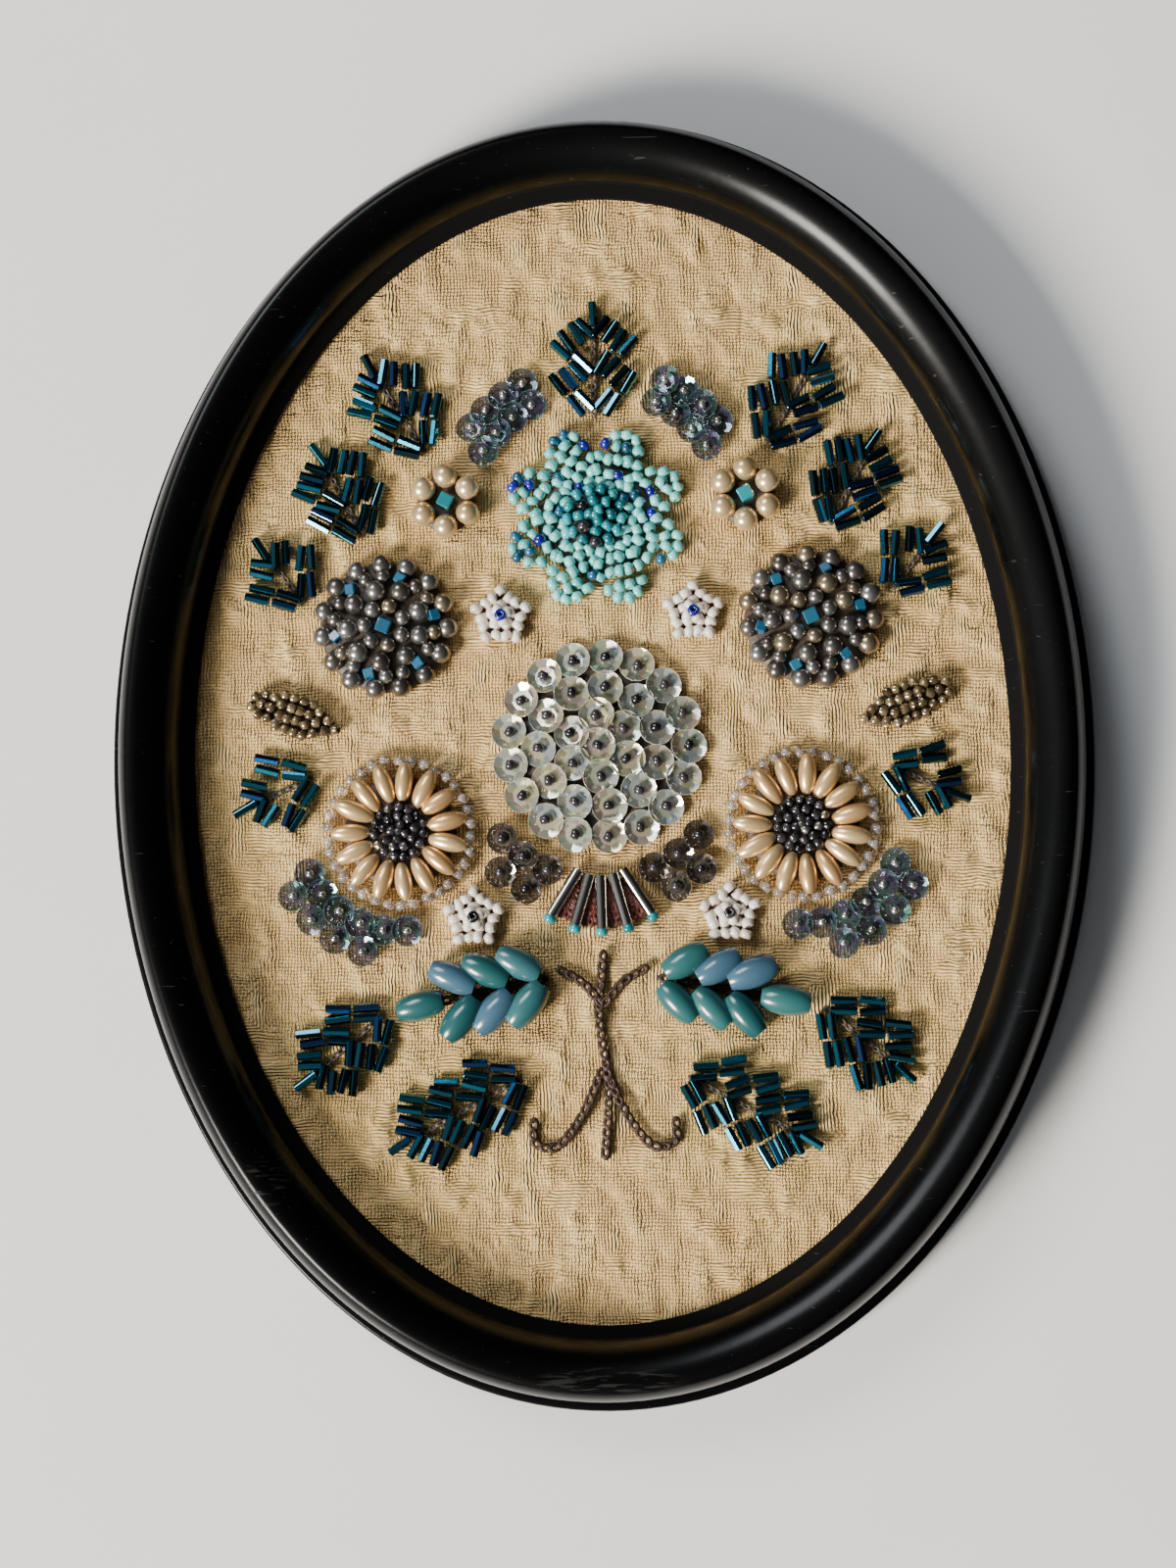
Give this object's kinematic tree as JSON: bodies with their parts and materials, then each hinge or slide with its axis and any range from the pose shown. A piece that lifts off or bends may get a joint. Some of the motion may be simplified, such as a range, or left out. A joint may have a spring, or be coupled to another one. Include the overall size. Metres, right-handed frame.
{
  "type": "beadwork picture in oval frame",
  "caption": "Oval black frame holding a linen panel sewn with beads, pearls and sequins in a mirrored flower pattern.",
  "frame": {"origin": "middle of the frame's underside, on the plane that it rests on", "axes": "+Z out of the picture's face, +Y to the picture's top along the oval's length, +X to the picture's right"},
  "size_m": [0.157, 0.207, 0.0152],
  "materials": {
    "black_lacquer": "satin black",
    "linen": "plain weave with raised slubs",
    "backing_board": "matt",
    "petrol_bugles": "dark iridescent",
    "turquoise_beads": "opaque, glossy",
    "gunmetal_pearls": "metallic pearl",
    "champagne_pearls": "pearl",
    "shell_sequins": "pearly",
    "mist_sequins": "iridescent",
    "milk_beads": "pearly",
    "lagoon_beads": "opaque, glossy",
    "taupe_beads": "clear taupe",
    "smoky_sequins": "metallic",
    "silver_bugles": "silver-lined",
    "brown_thread": "metallic thread"
  },
  "bodies": {
    "root": {"frame_moulding": "black_lacquer", "backing_board": "backing_board", "linen_cloth": "linen", "sequin_dahlia": "shell_sequins", "seed_daisy": "turquoise_beads", "bugle_fan": "silver_bugles", "stitched_stems": "brown_thread", "spray_crown": "petrol_bugles", "pearl_rosette_left": "gunmetal_pearls", "pearl_rosette_right": "gunmetal_pearls", "rice_daisy_left": "champagne_pearls", "rice_daisy_right": "champagne_pearls", "seed_blossom_upper_left": "milk_beads", "seed_blossom_upper_right": "milk_beads", "seed_blossom_lower_left": "milk_beads", "seed_blossom_lower_right": "milk_beads", "pearl_posy_left": "champagne_pearls", "pearl_posy_right": "champagne_pearls", "oval_ear_left": "lagoon_beads", "oval_ear_right": "lagoon_beads", "seed_leaf_left": "taupe_beads", "seed_leaf_right": "taupe_beads", "smoky_cups_left": "smoky_sequins", "smoky_cups_right": "smoky_sequins", "sequin_band_upper_left": "mist_sequins", "sequin_band_upper_right": "mist_sequins", "sequin_band_lower_left": "mist_sequins", "sequin_band_lower_right": "mist_sequins", "spray_shoulder_left": "petrol_bugles", "spray_shoulder_right": "petrol_bugles", "spray_upper_left": "petrol_bugles", "spray_upper_right": "petrol_bugles", "spray_flank_left": "petrol_bugles", "spray_flank_right": "petrol_bugles", "spray_side_left": "petrol_bugles", "spray_side_right": "petrol_bugles", "spray_lower_left": "petrol_bugles", "spray_lower_right": "petrol_bugles", "spray_foot_left": "petrol_bugles", "spray_foot_right": "petrol_bugles"}
  },
  "joints": []
}
